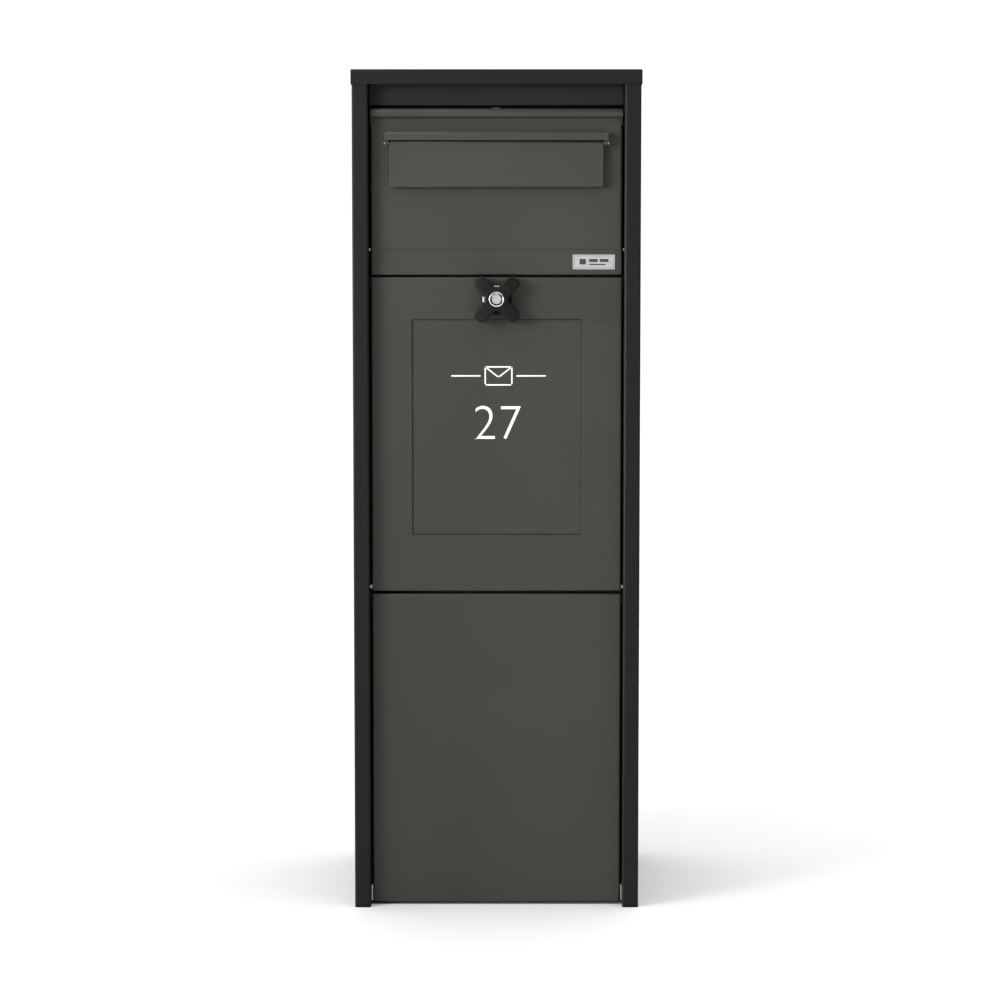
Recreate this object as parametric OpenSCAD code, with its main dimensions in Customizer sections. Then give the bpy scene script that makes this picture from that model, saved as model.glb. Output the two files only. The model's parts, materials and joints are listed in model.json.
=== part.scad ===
// Free-standing letter and parcel box.
// Origin: centre of the anchor holes at the underside of the base. +Z up, front faces -Y.

/* [Body] */
// Width over the two side panels
body_w = 430; // [360:1:600]
// Depth over the two side panels
body_d = 380; // [330:1:520]
// Height from the floor to the top of the roof
body_h = 1260; // [1180:1:1500]
// Sheet thickness of the folded panels
sheet = 1.5; // [1.2:0.1:2]
// Outer radius of a sheet bend
bend_r = 3; // [2:0.5:4]
// Width of the front face of each column
column_w = 24; // [20:1:32]
// Depth of the fold behind each column's front face
return_len = 45; // [30:1:60]
// Width of the fold at the rear of each side panel
rear_flange = 20; // [14:1:28]
// Height of the roof's skirt
cap_skirt = 22; // [16:1:30]
// Sheet thickness of the roof
cap_sheet = 1.2; // [1:0.1:1.5]
// Thickness of the foot under each column
foot_h = 4; // [3:0.5:6]
// Thickness of the base plate
base_sheet = 2; // [1.5:0.5:3]

/* [Fronts] */
// Set-back of the panels behind the columns
recess = 18; // [16:1:22]
// Gap between a panel and the column beside it
side_gap = 3; // [2.5:0.5:4]
// Depth of the folded panels
pan_depth = 22; // [20:1:24]
// Height of the lower panel's bottom edge
lower_bottom = 4; // [3:0.5:6]
// Height of the lower panel's top edge
lower_top = 476.8; // [440:0.1:500]
// Gap between the lower panel and the parcel door
door_gap = 4.4; // [4:0.1:6]
// Height of the parcel door
door_h = 472.5; // [440:0.1:520]
// Gap between the parcel door and the hatch
hatch_gap = 3.3; // [3:0.1:5]
// Height of the hatch
hatch_h = 246.5; // [240:0.1:280]
// Gap between the hatch and the header
header_gap = 4.5; // [3.5:0.1:6]
// Height of the lower strip of the hatch, below its seam
strip_h = 38.5; // [34:0.5:42]
// Width of the recessed panel in the parcel door
inset_w = 255; // [200:1:300]
// Height of the recessed panel in the parcel door
inset_h = 325; // [240:1:340]
// Distance from the door's top edge to the recessed panel
inset_drop = 62.5; // [56:0.5:90]

/* [Letter flap] */
// Width of the letter flap
flap_w = 319; // [280:1:330]
// Height of the letter flap
flap_h = 69; // [60:1:80]
// Distance from the hatch's top edge to the flap's pin
flap_drop = 51.5; // [48:0.5:60]
// Width of the letter slot
slot_w = 300; // [260:1:310]
// Height of the letter slot
slot_h = 34; // [25:1:38]
// Distance from the flap's pin up to the top of its hood
hood_rise = 17.4; // [15:0.1:20]

/* [Knob] */
// Distance from the door's top edge to the knob's axis
knob_drop = 33.4; // [32:0.1:36]
// Distance from the knob's axis to the centre of an arm's round end
arm_reach = 32; // [26:1:36]
// Width of each arm
arm_w = 20.6; // [16:0.2:24]
// Height of the knob's front above the door
knob_h = 20; // [16:1:24]
// Radius of the lock's face
lock_r = 11; // [9:0.5:13]

/* [Hinges] */
// Radius of the hatch's pivot pins
hatch_pin_r = 2.5; // [2:0.1:3]
// Radius of the door's pivot pins
door_pin_r = 2.5; // [2:0.1:2.8]
// Radius of the lower panel's pivot pins
lower_pin_r = 2; // [1.6:0.1:2.6]
// Radius of the flap's rod
flap_pin_r = 1.5; // [1.2:0.1:1.8]
// Height of the hatch's pivot above its bottom edge
hatch_pivot_up = 38; // [34:0.5:42]
// Height of the door's pivot above its bottom edge
door_pivot_up = 6.1; // [5.5:0.1:8]
// Height of the lower panel's pivot above its bottom edge
lower_pivot_up = 23; // [20:0.5:26]

/* [Inside] */
// Distance from the hatch's pivot to the curved edge of the hopper's cheeks
cheek_r = 200; // [180:1:202]
// Length of the hopper's tray
tray_len = 190; // [150:1:195]
// Slope of the hopper's tray at rest
tray_slope = 38; // [32:1:42]
// Height of the plate that guards the parcels from above
baffle_h = 170; // [120:1:190]
// Spacing of the anchor holes across the width
anchor_x = 300; // [240:1:330]
// Spacing of the anchor holes along the depth
anchor_y = 220; // [180:1:230]
// Radius of the anchor holes
anchor_r = 5.5; // [4:0.5:7]
// Spacing of the back fixing holes across the width
back_x = 300; // [240:1:330]
// Spacing of the back fixing holes in height
back_z = 800; // [600:10:900]
// Radius of the back fixing holes
back_r = 4; // [3:0.5:5]

/* [Hidden] */
$fn = 48;
eps = 0.01;
seat = 0.3;        // clearance between a part and what it is seated on
run = 0.05;        // radial clearance of a pin or a rivet in its hole
yf = -body_d / 2;  // front of the columns
yb = body_d / 2;   // rear of the side panels
yp = yf + recess;  // front of the hatch, the door and the lower panel
opening_w = body_w - 2 * column_w;
pan_w = opening_w - 2 * side_gap;
inner_w = body_w - 2 * sheet - 2 * seat;     // parts that span the side panels
y_back = yb - 2 * sheet;                     // front of the back panel
liner_y = yp + pan_depth - sheet;            // front of a liner
cross_y = max(yp + pan_depth + 6, yf + return_len + 1);  // front of the fixed cross members
door_bottom = lower_top + door_gap;
door_top = door_bottom + door_h;
hatch_bottom = door_top + hatch_gap;
hatch_top = hatch_bottom + hatch_h;
header_z = hatch_top + header_gap;
roof_under = body_h - cap_sheet;
seam_z = hatch_bottom + strip_h;
lip_h = 12;
lip_out = 8;
lip_r = 5.5;                                 // outer radius of the lip's front bend
plate_t = 1;                                 // thickness of the slot plate
flap_sheet = 1.2;
knuckle_r = 3.2;
pin_head = 1.5;
bush_wall = 1.2;
bush_flange = 1.2;                           // thickness of a bush's flange, in the side gap
hatch_pivot_in = 7.5;                        // distance of a pivot behind the panels' front
door_pivot_in = 6.5;
flap_pivot_out = 7.5;                        // distance of the flap's pin in front of its plate
hatch_pivot = [yp + hatch_pivot_in, hatch_bottom + hatch_pivot_up];
door_pivot = [yp + door_pivot_in, door_bottom + door_pivot_up];
lower_pivot = [yp + door_pivot_in, lower_bottom + lower_pivot_up];
base_front = lower_pivot[0] + norm([pan_depth - door_pivot_in, lower_pivot_up]) + 2;
flap_pivot = [yp - plate_t - flap_pivot_out, hatch_top - flap_drop];
flap_bottom = flap_pivot[1] - flap_h + 4;
flap_front = flap_pivot[0] - knuckle_r;
flap_depth = 6;
hood_w = flap_w + 14;
hood_out = 15;
hood_wall = 13.4;
hood_clear = 0.8;                            // clearance between the flap and the hood's ends
slot_z = flap_pivot[1] - 12 - slot_h;
knob_z = door_top - knob_drop;
knob_back = yp - 3.5;                        // rear of the knob, just clear of the rosette
knob_front = knob_back - knob_h;
rail_bottom = knob_z + 14.7;
rail_top = door_top + 1.8;
shelf_top = lower_top + 1.2;
shelf_drop = 20;
cam_y = cross_y + sheet + 6.5;
cam_t = 3;
cam_reach = rail_top - sheet - 3 - knob_z;
shaft_r = 7;
latch_y = cross_y + 12;
latch_r = 4;
latch_cam_z = shelf_top - 12;
latch_half = 4;                              // half the width of the latch's cam
keeper_gap = 0.8;
rosette_r = 23;
rosette_t = 3;
detent_r = 1.5;
detent_at = 24;                              // distance of the detent pin from the knob's axis
flange_x = pan_w / 2 - sheet;                // inner face of a panel's side flange
cheek_x = flange_x - seat;                   // outer face of a cheek
tray_w = 2 * (cheek_x - sheet - seat);
baffle_y = hatch_pivot[0] + cheek_r + 10;
rivet_r = 2;
rivet_head_r = 3.6;
rivet_head = 1.2;
rivet_x = body_w / 2 - rear_flange / 2 - 1;
rivet_z = [for (i = [0 : 4]) 60 + i * (body_h - 120) / 4];
header_rivet_y = yp + 14;
header_rivet_z = [header_z + 15, header_z + 35];
bracket_rivet_y = yp + 15;
bracket_rivet_z = [foot_h + 11, foot_h + 19];
bracket_t = 2;
pan_rivet_y = yp + pan_depth - 7;
liner_flange = pan_depth - door_pivot_in - door_pin_r - 1;
cap_screw_x = 100;
bumper_x = 150;
rail_bumper_z = rail_top - 8;
strip_y = yp + pan_depth + 2;                // front of the strip behind the hatch's top
stiffener_d = pan_depth - 3.5;
stiffener_h = 34;
shelf_edge = y_back - seat;
lower_h = lower_top - lower_bottom;

// ---- Shared shapes ----

// Rectangle with round corners, from its lower left corner
module round_rect(w, h, r) {
    translate([r, 0]) square([w - 2 * r, h]);
    translate([0, r]) square([w, h - 2 * r]);
    for (x = [r, w - r], y = [r, h - r]) translate([x, y]) circle(r);
}

// Rectangle with its upper left corner rounded
module pan_corner(w, h, r) {
    square([w, h - r]);
    translate([r, 0]) square([w - r, h]);
    translate([r, h - r]) circle(r);
}

// Outline of a folded pan: centred on X, front at Y = 0 with round corners, open at the back
module pan_outline(w, d, r) {
    translate([-w / 2 + r, 0]) square([w - 2 * r, d]);
    translate([-w / 2, r]) square([w, d - r]);
    for (s = [-1, 1]) translate([s * (w / 2 - r), r]) circle(r);
}

// Extrudes a side view, drawn as (Y, Z), along X and centres it
module along_x(length) {
    translate([-length / 2, 0, 0]) rotate([90, 0, 90]) linear_extrude(length) children();
}

// Block with round edges round its front face
module pan_block(w, h, d, r) {
    intersection() {
        linear_extrude(h) pan_outline(w, d, r);
        along_x(w + 2) translate([0, h / 2]) rotate(-90) pan_outline(h, d, r);
    }
}

// Folded pan: face at Y = 0, flanges back to Y = d, bottom edge at Z = 0
module pan(w, h, d, t = sheet, r = bend_r) {
    difference() {
        pan_block(w, h, d, r);
        translate([0, t, t]) pan_block(w - 2 * t, h - 2 * t, d, r - t);
    }
}

// Cylinder along X, from x0 to x1
module bar_x(r, x0, x1, y, z) {
    translate([x0, y, z]) rotate([0, 90, 0]) cylinder(r = r, h = x1 - x0);
}

// Cylinder along Y, from y0 to y1
module bar_y(r, y0, y1, x, z) {
    translate([x, y0, z]) rotate([-90, 0, 0]) cylinder(r = r, h = y1 - y0);
}

// Repeats its children mirrored on the left
module both_sides() {
    for (s = [0, 1]) mirror([s, 0, 0]) children();
}

// ---- Fixed body ----

module side_profile() {
    inner = [column_w - 2 * sheet, body_d - 2 * sheet];
    difference() {
        translate([body_w / 2 - column_w, yf]) round_rect(column_w, body_d, bend_r);
        translate([body_w / 2 - column_w + sheet, yf + sheet])
            round_rect(inner[0], inner[1], bend_r - sheet);
        translate([body_w / 2 - column_w - 1, yf + return_len])
            square([column_w - rear_flange + 1, body_d]);
    }
}

module side_panel() {
    color("#313130") difference() {
        translate([0, 0, foot_h]) linear_extrude(roof_under - 1 - foot_h) side_profile();
        bar_x(hatch_pin_r + run, opening_w / 2 - 1, opening_w / 2 + sheet + 1,
              hatch_pivot[0], hatch_pivot[1]);
        bar_x(door_pin_r + run, opening_w / 2 - 1, opening_w / 2 + sheet + 1,
              door_pivot[0], door_pivot[1]);
        bar_x(lower_pin_r + run, opening_w / 2 - 1, opening_w / 2 + sheet + 1,
              lower_pivot[0], lower_pivot[1]);
        for (z = bracket_rivet_z) bar_x(rivet_r + run, opening_w / 2 - 1,
                                        opening_w / 2 + sheet + 1, bracket_rivet_y, z);
        for (z = rivet_z) bar_y(rivet_r + run, yb - sheet - 1, yb + 1, rivet_x, z);
        for (z = header_rivet_z)
            bar_x(rivet_r + run, opening_w / 2 - 1, opening_w / 2 + sheet + 1, header_rivet_y, z);
    }
}

module side_right() { side_panel(); }

module side_left() { mirror([1, 0, 0]) side_panel(); }

module back_panel() {
    plate_w = body_w - 2 * sheet - 4;
    color("#313130") difference() {
        translate([-plate_w / 2, y_back, base_sheet + 1])
            cube([plate_w, sheet, roof_under - seat - base_sheet - 1]);
        both_sides() for (z = rivet_z) bar_y(rivet_r + run, y_back - 1, yb, rivet_x, z);
        both_sides() bar_y(rivet_r + run, y_back - 1, yb, cap_screw_x, body_h - cap_skirt / 2);
        both_sides() for (s = [-1, 1])
            bar_y(back_r, y_back - 1, yb, back_x / 2, body_h / 2 + s * back_z / 2);
    }
}

module roof_cap() {
    over = cap_sheet + 0.1;
    color("#323231") difference() {
        translate([0, yf - over, body_h]) rotate([-90, 0, 0])
            pan(body_w + 2 * over, body_d + 2 * over, cap_skirt, cap_sheet, 2);
        both_sides() bar_y(rivet_r + run, y_back, yb + 5, cap_screw_x, body_h - cap_skirt / 2);
    }
}

module header_panel() {
    head_w = opening_w - 0.4;
    color("#2b2b2a") difference() {
        union() {
            translate([0, yp, header_z]) pan(head_w, roof_under - header_z, strip_y + sheet - yp);
            translate([-tray_w / 2 + 1, strip_y, header_z - 20])
                cube([tray_w - 2, sheet, 20 + sheet]);
        }
        both_sides() for (z = header_rivet_z)
            bar_x(rivet_r + run, head_w / 2 - sheet - 1, head_w / 2 + 1, header_rivet_y, z);
        both_sides() bar_y(2 + run, strip_y - 1, strip_y + 3, bumper_x, header_z - 10);
    }
}

module latch_rail() {
    color("#5a5a58") difference() {
        translate([0, cross_y, rail_bottom]) pan(inner_w, rail_top - rail_bottom, 20);
        translate([-inner_w / 2 + sheet, cross_y + sheet, rail_bottom - 1])
            cube([inner_w - 2 * sheet, 20, sheet + bend_r]);
        both_sides() bar_y(2 + run, cross_y - 1, cross_y + 3, bumper_x, rail_bumper_z);
    }
}

module parcel_shelf() {
    color("#5a5a58") difference() {
        translate([0, cross_y, shelf_top]) rotate([-90, 0, 0])
            pan(inner_w, shelf_edge - cross_y, shelf_drop);
        translate([-22, cross_y - 1, shelf_top - shelf_drop - 1])
            cube([44, bend_r + 3, shelf_drop + 1 - bend_r]);
        translate([0, latch_y, shelf_top - 5]) cylinder(r = latch_r + run, h = 10);
        both_sides() bar_y(2 + run, cross_y - 1, cross_y + 3, bumper_x, shelf_top - 11);
    }
}

module base_tray() {
    color("#5a5a58") difference() {
        translate([0, shelf_edge, 0]) rotate([90, 0, 0])
            pan(inner_w, shelf_edge - base_front, 24, base_sheet, bend_r);
        both_sides() for (s = [-1, 1])
            translate([anchor_x / 2, s * anchor_y / 2, -1]) cylinder(r = anchor_r, h = 5);
    }
}

module guard_baffle() {
    color("#5a5a58") translate([0, baffle_y, roof_under - seat - baffle_h])
        pan(inner_w, baffle_h, 15);
}

module foot_caps() {
    fit = sheet + seat;
    color("#1c1c1c") both_sides() {
        translate([opening_w / 2, yf, 0]) linear_extrude(foot_h)
            round_rect(column_w, return_len, bend_r);
        translate([opening_w / 2 + fit, yf + fit, foot_h - eps]) linear_extrude(6)
            round_rect(column_w - 2 * fit, return_len - fit - 1, 1.2);
    }
}

// Pin with its head inside the column, on the right
module pivot_pin(r, pivot, tip) {
    bar_x(r, tip, opening_w / 2 + sheet + eps, pivot[0], pivot[1]);
    bar_x(r + 1.8, opening_w / 2 + sheet, opening_w / 2 + sheet + pin_head, pivot[0], pivot[1]);
}

// Flanged bush in a panel's side flange, on the right
module bush(pin_r, pivot, inner_x, flange_t = bush_flange) {
    difference() {
        union() {
            bar_x(pin_r + bush_wall, inner_x, pan_w / 2 + eps, pivot[0], pivot[1]);
            bar_x(pin_r + bush_wall + 0.8, pan_w / 2, pan_w / 2 + flange_t, pivot[0], pivot[1]);
        }
        bar_x(pin_r + run, inner_x - 1, pan_w / 2 + 5, pivot[0], pivot[1]);
    }
}

// Hole for a bush through a panel's side flange, on the right
module bush_hole(pin_r, pivot) {
    bar_x(pin_r + bush_wall + run, pan_w / 2 - 8, pan_w / 2 + 1, pivot[0], pivot[1]);
}

module hatch_pins() {
    color("#b9babb") both_sides() pivot_pin(hatch_pin_r, hatch_pivot, cheek_x - sheet + 0.2);
}

module door_pins() {
    color("#b9babb") both_sides() pivot_pin(door_pin_r, door_pivot, flange_x - 2);
}

module lower_pins() {
    color("#b9babb") both_sides() pivot_pin(lower_pin_r, lower_pivot, flange_x - 2);
}

module lower_brackets() {
    plate_x = opening_w / 2 - 0.1 - bracket_t;
    color("#a9aaab") both_sides() difference() {
        translate([plate_x, 0, 0]) rotate([90, 0, 90]) linear_extrude(bracket_t) {
            translate([lower_pivot[0], lower_pivot[1]]) circle(4);
            translate([lower_pivot[0] - 4, foot_h + 2])
                square([20, lower_pivot[1] - foot_h - 6]);
            translate([lower_pivot[0] - 4, foot_h + 2]) square([8, lower_pivot[1] - foot_h - 2]);
        }
        bar_x(lower_pin_r + run, plate_x - 1, plate_x + 5, lower_pivot[0], lower_pivot[1]);
        for (z = bracket_rivet_z)
            bar_x(rivet_r + run, plate_x - 1, plate_x + 5, bracket_rivet_y, z);
    }
}

// Rubber stop: a disc on the front of a cross member with its stem pushed through
module bumper(front, wall_y, z) {
    bar_y(5.5, front, wall_y, bumper_x, z);
    bar_y(2, wall_y - eps, wall_y + sheet + 1, bumper_x, z);
    bar_y(2.6, wall_y + sheet + 0.1, wall_y + sheet + 1, bumper_x, z);
}

module rest_bumpers() {
    color("#161616") both_sides() {
        bumper(yp + pan_depth + seat, cross_y, rail_bumper_z);
        bumper(yp + pan_depth + seat, cross_y, shelf_top - 11);
        bumper(yp + sheet + stiffener_d + seat, strip_y, header_z - 10);
    }
}

// Rivet along X from x0 to x1 with a head at the outer end, or at both ends
module rivet_x_axis(x0, x1, y, z) {
    bar_x(rivet_r, x0 - eps, x1 + eps, y, z);
    bar_x(rivet_head_r, x1, x1 + rivet_head, y, z);
}

module body_rivets() {
    color("#2e2e2e") both_sides() {
        for (z = rivet_z) {
            bar_y(rivet_r, y_back - eps, yb + eps, rivet_x, z);
            bar_y(rivet_head_r, yb, yb + rivet_head, rivet_x, z);
            bar_y(rivet_head_r - 0.6, y_back - rivet_head, y_back, rivet_x, z);
        }
        for (z = header_rivet_z) {
            inner = opening_w / 2 - 0.2 - sheet;
            rivet_x_axis(inner, opening_w / 2 + sheet, header_rivet_y, z);
            bar_x(rivet_head_r - 0.6, inner - rivet_head, inner, header_rivet_y, z);
        }
        for (z = bracket_rivet_z)
            rivet_x_axis(opening_w / 2 - 0.1 - bracket_t, opening_w / 2 + sheet,
                         bracket_rivet_y, z);
    }
}

module cap_screws() {
    skirt_y = yb + 0.1 + cap_sheet;
    color("#2e2e2e") both_sides() difference() {
        union() {
            bar_y(rivet_r, y_back - 1, skirt_y + eps, cap_screw_x, body_h - cap_skirt / 2);
            bar_y(4, skirt_y, skirt_y + 1.5, cap_screw_x, body_h - cap_skirt / 2);
        }
        translate([cap_screw_x, skirt_y + 2, body_h - cap_skirt / 2]) rotate([90, 0, 0])
            cylinder(r = 1.6, h = 1.3, $fn = 6);
    }
}

// ---- Hatch ----

module letter_slot(depth_from, depth_to) {
    translate([-slot_w / 2, depth_from, slot_z]) cube([slot_w, depth_to - depth_from, slot_h]);
}

module hatch_lip() {
    drop = 2 * lip_h;
    along_x(pan_w) difference() {
        translate([yp - lip_out, hatch_top - drop]) intersection() {
            round_rect(lip_out + sheet, drop, 2.5);
            pan_corner(lip_out + sheet, drop, lip_r);
        }
        translate([yp - lip_out + sheet, hatch_top - drop + sheet]) intersection() {
            round_rect(lip_out - sheet, drop - 2 * sheet, 1);
            pan_corner(lip_out - sheet, drop - 2 * sheet, lip_r - sheet);
        }
        translate([yp - lip_out - 1, hatch_top - drop - 1])
            square([lip_out + 1, drop + 1 - lip_h]);
    }
}

module hatch_panel() {
    color("#504e4a") difference() {
        union() {
            intersection() {
                translate([0, yp, hatch_bottom]) pan(pan_w, hatch_h + 20, pan_depth);
                translate([-pan_w, yp - 1, hatch_bottom - 1])
                    cube([2 * pan_w, pan_depth + 2, hatch_h - 3]);
            }
            hatch_lip();
        }
        translate([-pan_w, yp + sheet, hatch_top - 18]) cube([2 * pan_w, pan_depth, 30]);
        letter_slot(yp - 1, yp + sheet + 1);
        both_sides() bush_hole(hatch_pin_r, hatch_pivot);
    }
}

module slot_plate() {
    plate_w = pan_w - 2 * bend_r;
    color("#514f4b") difference() {
        translate([-plate_w / 2, yp - plate_t, seam_z])
            cube([plate_w, plate_t, hatch_top - lip_h - 2 - seam_z]);
        letter_slot(yp - 3, yp + 3);
    }
}

module hood_profile() {
    front = yp - plate_t - hood_out;
    top = flap_pivot[1] + hood_rise;
    difference() {
        translate([front, top - hood_wall]) pan_corner(hood_out, hood_wall, 4);
        translate([front + sheet, top - hood_wall - 1])
            pan_corner(hood_out, hood_wall + 1 - sheet, 2.5);
    }
}

module slot_hood() {
    front = yp - plate_t - hood_out;
    top = flap_pivot[1] + hood_rise;
    lobe = 4.5;
    cheek = (hood_w - flap_w) / 2 - hood_clear;
    color("#53514d") difference() {
        intersection() {
            union() {
                along_x(hood_w) hood_profile();
                both_sides() translate([hood_w / 2 - cheek, 0, 0]) rotate([90, 0, 90])
                    linear_extrude(cheek) {
                        translate([front, top - hood_wall]) pan_corner(hood_out, hood_wall, 4);
                        translate([flap_pivot[0], flap_pivot[1]]) circle(lobe);
                        translate([flap_pivot[0], flap_pivot[1] - lobe])
                            square([yp - plate_t - flap_pivot[0], 2 * lobe + 2]);
                        translate([flap_pivot[0] - lobe, flap_pivot[1]]) square([lobe, lobe + 2]);
                    }
            }
            translate([-hood_w / 2, yp, flap_pivot[1] - lobe]) rotate([90, 0, 0])
                linear_extrude(hood_out + 10) round_rect(hood_w, hood_rise + lobe, 7);
        }
        bar_x(flap_pin_r + run, -hood_w, hood_w, flap_pivot[0], flap_pivot[1]);
    }
}

module hatch_stiffener() {
    back = yp + sheet;
    color("#504e4a") along_x(tray_w - 2) difference() {
        translate([back, hatch_top - 6 - stiffener_h]) square([stiffener_d, stiffener_h]);
        translate([back - 1, hatch_top - 6 - stiffener_h + sheet])
            square([stiffener_d + 1 - sheet, stiffener_h - 2 * sheet]);
    }
}

module cheek_outline() {
    far = 2 * cheek_r;
    difference() {
        intersection() {
            circle(cheek_r);
            polygon([[0, 0], [far * cos(tray_slope), -far * sin(tray_slope)], [far, far], [0, far]]);
        }
        rotate(-tray_slope) translate([tray_len + 4, -1]) square([20, 40]);
    }
    translate([-4, 0]) square([4 + eps, hatch_top - 20 - hatch_pivot[1]]);
    circle(5.5);
}

module hopper_cheek() {
    color("#5a5a58") difference() {
        translate([cheek_x - sheet, hatch_pivot[0], hatch_pivot[1]]) rotate([90, 0, 90])
            linear_extrude(sheet) cheek_outline();
        bush_hole(hatch_pin_r, hatch_pivot);
        tray_rivet_places() bar_x(rivet_r + run, cheek_x - 5, cheek_x + 5, 0, 0);
    }
}

module hopper_cheek_right() { hopper_cheek(); }

module hopper_cheek_left() { mirror([1, 0, 0]) hopper_cheek(); }

// Moves its children from the origin to each rivet of the tray's right flange
module tray_rivet_places() {
    for (u = [30, tray_len / 2 + 5, tray_len - 20])
        translate([0, hatch_pivot[0], hatch_pivot[1]]) rotate([-tray_slope, 0, 0])
            translate([0, u, 7]) children();
}

module hopper_tray() {
    start = 16;
    hem_r = 2;
    back = hatch_pivot[0] - yp - sheet;      // from the pivot to the hatch panel
    front = (sheet * sin(tray_slope) - back) / cos(tray_slope) + 0.05;
    color("#5a5a58") difference() {
        union() {
            translate([0, hatch_pivot[0], hatch_pivot[1]]) rotate([-tray_slope, 0, 0]) {
                translate([-tray_w / 2 + 16, front, -sheet])
                    cube([tray_w - 32, start + 1 - front, sheet]);
                translate([-tray_w / 2, start, -sheet]) cube([tray_w, tray_len - start, sheet]);
                both_sides() translate([tray_w / 2 - sheet, start, -sheet])
                    cube([sheet, tray_len - start - hem_r - 1, 14]);
                rotate([0, 90, 0]) translate([sheet / 2, tray_len, -tray_w / 2])
                    cylinder(r = hem_r, h = tray_w);
            }
            translate([-tray_w / 2 + 18, yp + sheet, hatch_pivot[1] + 3])
                cube([tray_w - 36, sheet, 18]);
        }
        both_sides() tray_rivet_places() bar_x(rivet_r + run, cheek_x - 6, cheek_x + 5, 0, 0);
    }
}

module hopper_rivets() {
    color("#a9aaab") both_sides() tray_rivet_places() {
        bar_x(rivet_r, tray_w / 2 - sheet - eps, cheek_x + eps, 0, 0);
        bar_x(rivet_head_r, cheek_x, cheek_x + rivet_head, 0, 0);
        bar_x(rivet_head_r - 0.6, tray_w / 2 - sheet - rivet_head, tray_w / 2 - sheet, 0, 0);
    }
}

module label_plate() {
    size = [63, 22];
    color("#c9cacb") translate([pan_w / 2 - 42.5 - size[0] / 2, yp, hatch_bottom + 8.3])
        rotate([90, 0, 0]) linear_extrude(0.8) round_rect(size[0], size[1], 1);
}

module hatch_stud() {
    color("#2b2b2a") translate([-5.5, yp - 4.5, hatch_top]) linear_extrude(1.5)
        round_rect(11, 5.5, 1.5);
}

module hatch_bushes() {
    color("#1c1c1c") both_sides() bush(hatch_pin_r, hatch_pivot, cheek_x - sheet);
}

module flap_rod() {
    end = hood_w / 2;
    color("#b9babb") {
        bar_x(flap_pin_r, -end, end, flap_pivot[0], flap_pivot[1]);
        both_sides() bar_x(flap_pin_r + 1, end, end + 0.8, flap_pivot[0], flap_pivot[1]);
    }
}

module flap_bumpers() {
    back = flap_front + flap_depth + seat;
    color("#161616") both_sides()
        bar_y(4, back, yp - plate_t, flap_w / 2 - 40, flap_bottom + 4.2);
}

module letter_flap() {
    color("#53514d") difference() {
        union() {
            intersection() {
                translate([0, flap_front, flap_bottom])
                    pan(flap_w, flap_h + 20, flap_depth, flap_sheet, 1.8);
                translate([-flap_w, flap_front - 1, flap_bottom - 1])
                    cube([2 * flap_w, 20, flap_pivot[1] - flap_bottom + 1]);
            }
            bar_x(knuckle_r, -flap_w / 2, flap_w / 2, flap_pivot[0], flap_pivot[1]);
        }
        translate([-flap_w, flap_front + flap_sheet, flap_pivot[1] - 10])
            cube([2 * flap_w, 20, 10 - knuckle_r]);
        bar_x(flap_pin_r + run, -flap_w, flap_w, flap_pivot[0], flap_pivot[1]);
    }
}

// ---- Parcel door ----

// Rivets that join a liner to a pan's side flanges, on the right
module pan_rivets(z_low, z_high) {
    inner = flange_x - seat - sheet;
    for (z = [z_low, (z_low + z_high) / 2, z_high]) {
        rivet_x_axis(inner, pan_w / 2, pan_rivet_y, z);
        bar_x(rivet_head_r - 0.6, inner - rivet_head, inner, pan_rivet_y, z);
    }
}

module pan_rivet_holes(z_low, z_high) {
    both_sides() for (z = [z_low, (z_low + z_high) / 2, z_high])
        bar_x(rivet_r + run, flange_x - 5, pan_w / 2 + 1, pan_rivet_y, z);
}

// Liner: face at the rear of a pan, flanges folded forwards inside it
module liner(bottom, height) {
    fit = sheet + seat;
    translate([0, yp + pan_depth, bottom + fit]) mirror([0, 1, 0])
        pan(pan_w - 2 * fit, height - 2 * fit, liner_flange);
}

module door_skin() {
    color("#504e4a") difference() {
        translate([0, yp, door_bottom]) pan(pan_w, door_h, pan_depth);
        translate([-inset_w / 2, yp - 1, door_top - inset_drop - inset_h])
            cube([inset_w, 4, inset_h]);
        bar_y(shaft_r + 4.5, yp - 1, yp + 4, 0, knob_z);
        both_sides() bush_hole(door_pin_r, door_pivot);
        pan_rivet_holes(door_bottom + 60, door_top - 60);
    }
}

module door_liner() {
    color("#565553") difference() {
        liner(door_bottom, door_h);
        bar_y(shaft_r + 0.6, liner_y - 1, liner_y + 4, 0, knob_z);
        pan_rivet_holes(door_bottom + 60, door_top - 60);
    }
}

module name_panel() {
    lap = 8;
    color("#504e4a")
        translate([-inset_w / 2 - lap, yp + sheet, door_top - inset_drop - inset_h - lap])
        cube([inset_w + 2 * lap, sheet, inset_h + 2 * lap]);
}

module door_rivets() {
    color("#504e4a") both_sides() pan_rivets(door_bottom + 60, door_top - 60);
}

module door_bushes() {
    color("#b9babb") both_sides() bush(door_pin_r, door_pivot, flange_x);
}

// ---- Knob and lock ----

// Places its children on the knob's axis, drawn in a plane facing the front
module on_knob() { translate([0, 0, knob_z]) rotate([90, 0, 0]) children(); }

module knob_rosette() {
    color("#242424") difference() {
        union() {
            bar_y(rosette_r, yp - rosette_t, yp, 0, knob_z);
            bar_y(shaft_r + 4, yp - eps, yp + 7, 0, knob_z);
            for (a = [45 : 90 : 359]) translate([detent_at * cos(a), 0, knob_z + detent_at * sin(a)])
                bar_y(4, yp - rosette_t, yp, 0, 0);
        }
        bar_y(shaft_r + run, yp - rosette_t - 1, yp + 10, 0, knob_z);
        for (a = [45 : 90 : 359]) translate([detent_at * cos(a), 0, knob_z + detent_at * sin(a)])
            bar_y(detent_r + 0.3, yp - rosette_t - 1, yp + 1, 0, 0);
    }
}

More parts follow.
